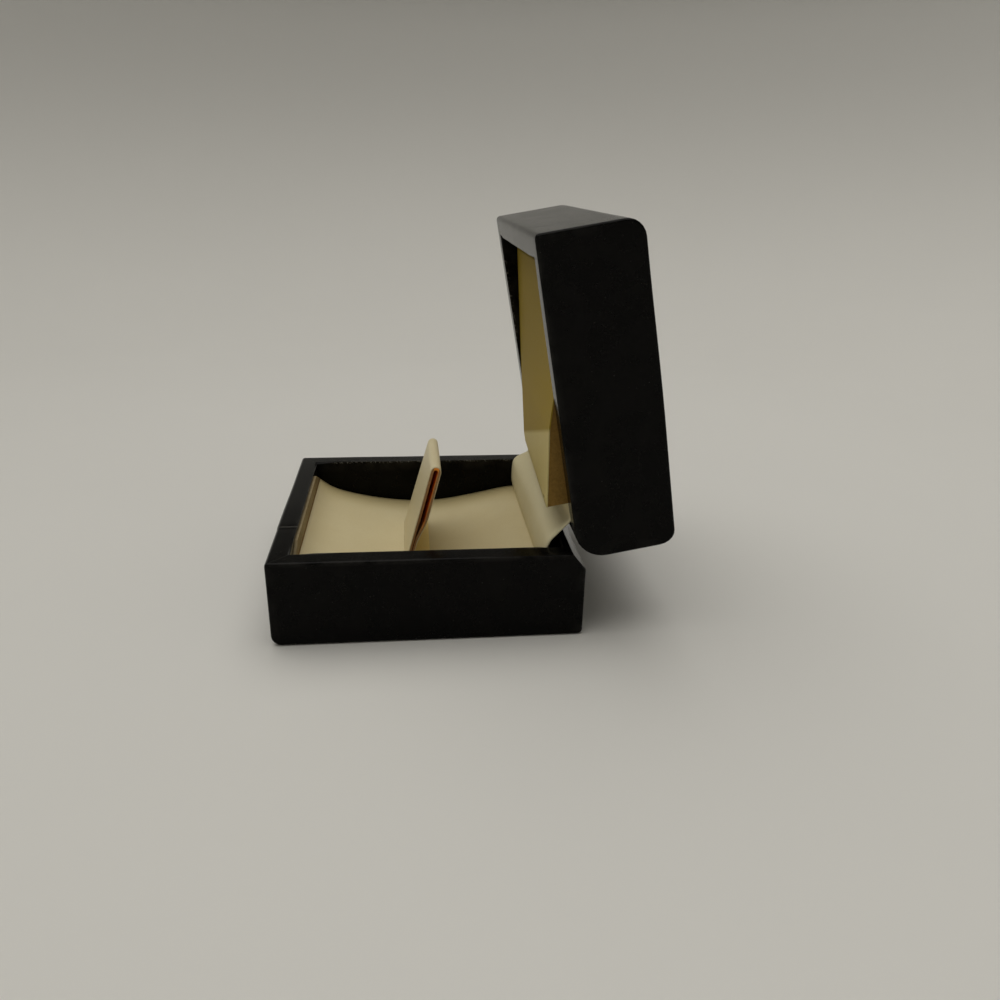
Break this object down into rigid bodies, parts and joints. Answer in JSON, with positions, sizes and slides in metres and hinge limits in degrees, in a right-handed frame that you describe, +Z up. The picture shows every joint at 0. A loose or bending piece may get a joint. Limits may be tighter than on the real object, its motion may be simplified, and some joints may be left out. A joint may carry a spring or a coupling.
{
  "type": "presentation box",
  "caption": "Small hinged presentation box standing open: black leatherette outside, cream card tray with a folding card fin, card panel in the lid.",
  "frame": {"origin": "middle of the base's underside, on the surface that the box stands on", "axes": "+Z up, -Y the front, +Y the hinge side, X along the hinge"},
  "size_m": [0.07, 0.089, 0.0907],
  "materials": {
    "carcass_wood": "matte",
    "black_leatherette": "satin",
    "cream_leatherette": "matte",
    "tan_card": "matte",
    "underside_paper": "matte",
    "pad_foam": "matte",
    "hinge_steel": "satin"
  },
  "bodies": {
    "base": {"base_front_wall": "carcass_wood", "base_back_wall": "carcass_wood", "base_left_wall": "carcass_wood", "base_right_wall": "carcass_wood", "base_floor": "carcass_wood", "base_wrap": "black_leatherette", "underside_sheet": "underside_paper", "tray_board": "tan_card", "tray_cover": "cream_leatherette", "tray_pad": "pad_foam", "fin_foot": "cream_leatherette", "hinge_strip": "cream_leatherette", "base_leaf": "hinge_steel", "base_leaf_tacks": "hinge_steel", "hinge_pin": "hinge_steel", "hinge_spring": "hinge_steel"},
    "lid": {"lid_front_wall": "carcass_wood", "lid_back_wall": "carcass_wood", "lid_left_wall": "carcass_wood", "lid_right_wall": "carcass_wood", "lid_top_board": "carcass_wood", "lid_wrap": "black_leatherette", "liner_board": "tan_card", "liner_cover": "cream_leatherette", "lid_leaf": "hinge_steel", "lid_leaf_tacks": "hinge_steel"},
    "fin": {"fin_board": "tan_card", "fin_skin": "cream_leatherette"}
  },
  "joints": [
    {"name": "lid_hinge", "type": "hinge", "parent": "base", "child": "lid", "pos_m": [0, 0.03305, 0.02075], "axis": [1, 0, 0], "range_deg": [0, 79.64], "deforming": ["hinge_strip", "hinge_spring"]},
    {"name": "fin_tilt", "type": "hinge", "parent": "base", "child": "fin", "pos_m": [0, -0.00381, 0.009], "axis": [1, 0, 0], "range_deg": [-61, 0]}
  ],
  "couplings": [
    {"joint": "fin_tilt", "follows": "lid_hinge", "ratio": -0.7659}
  ]
}
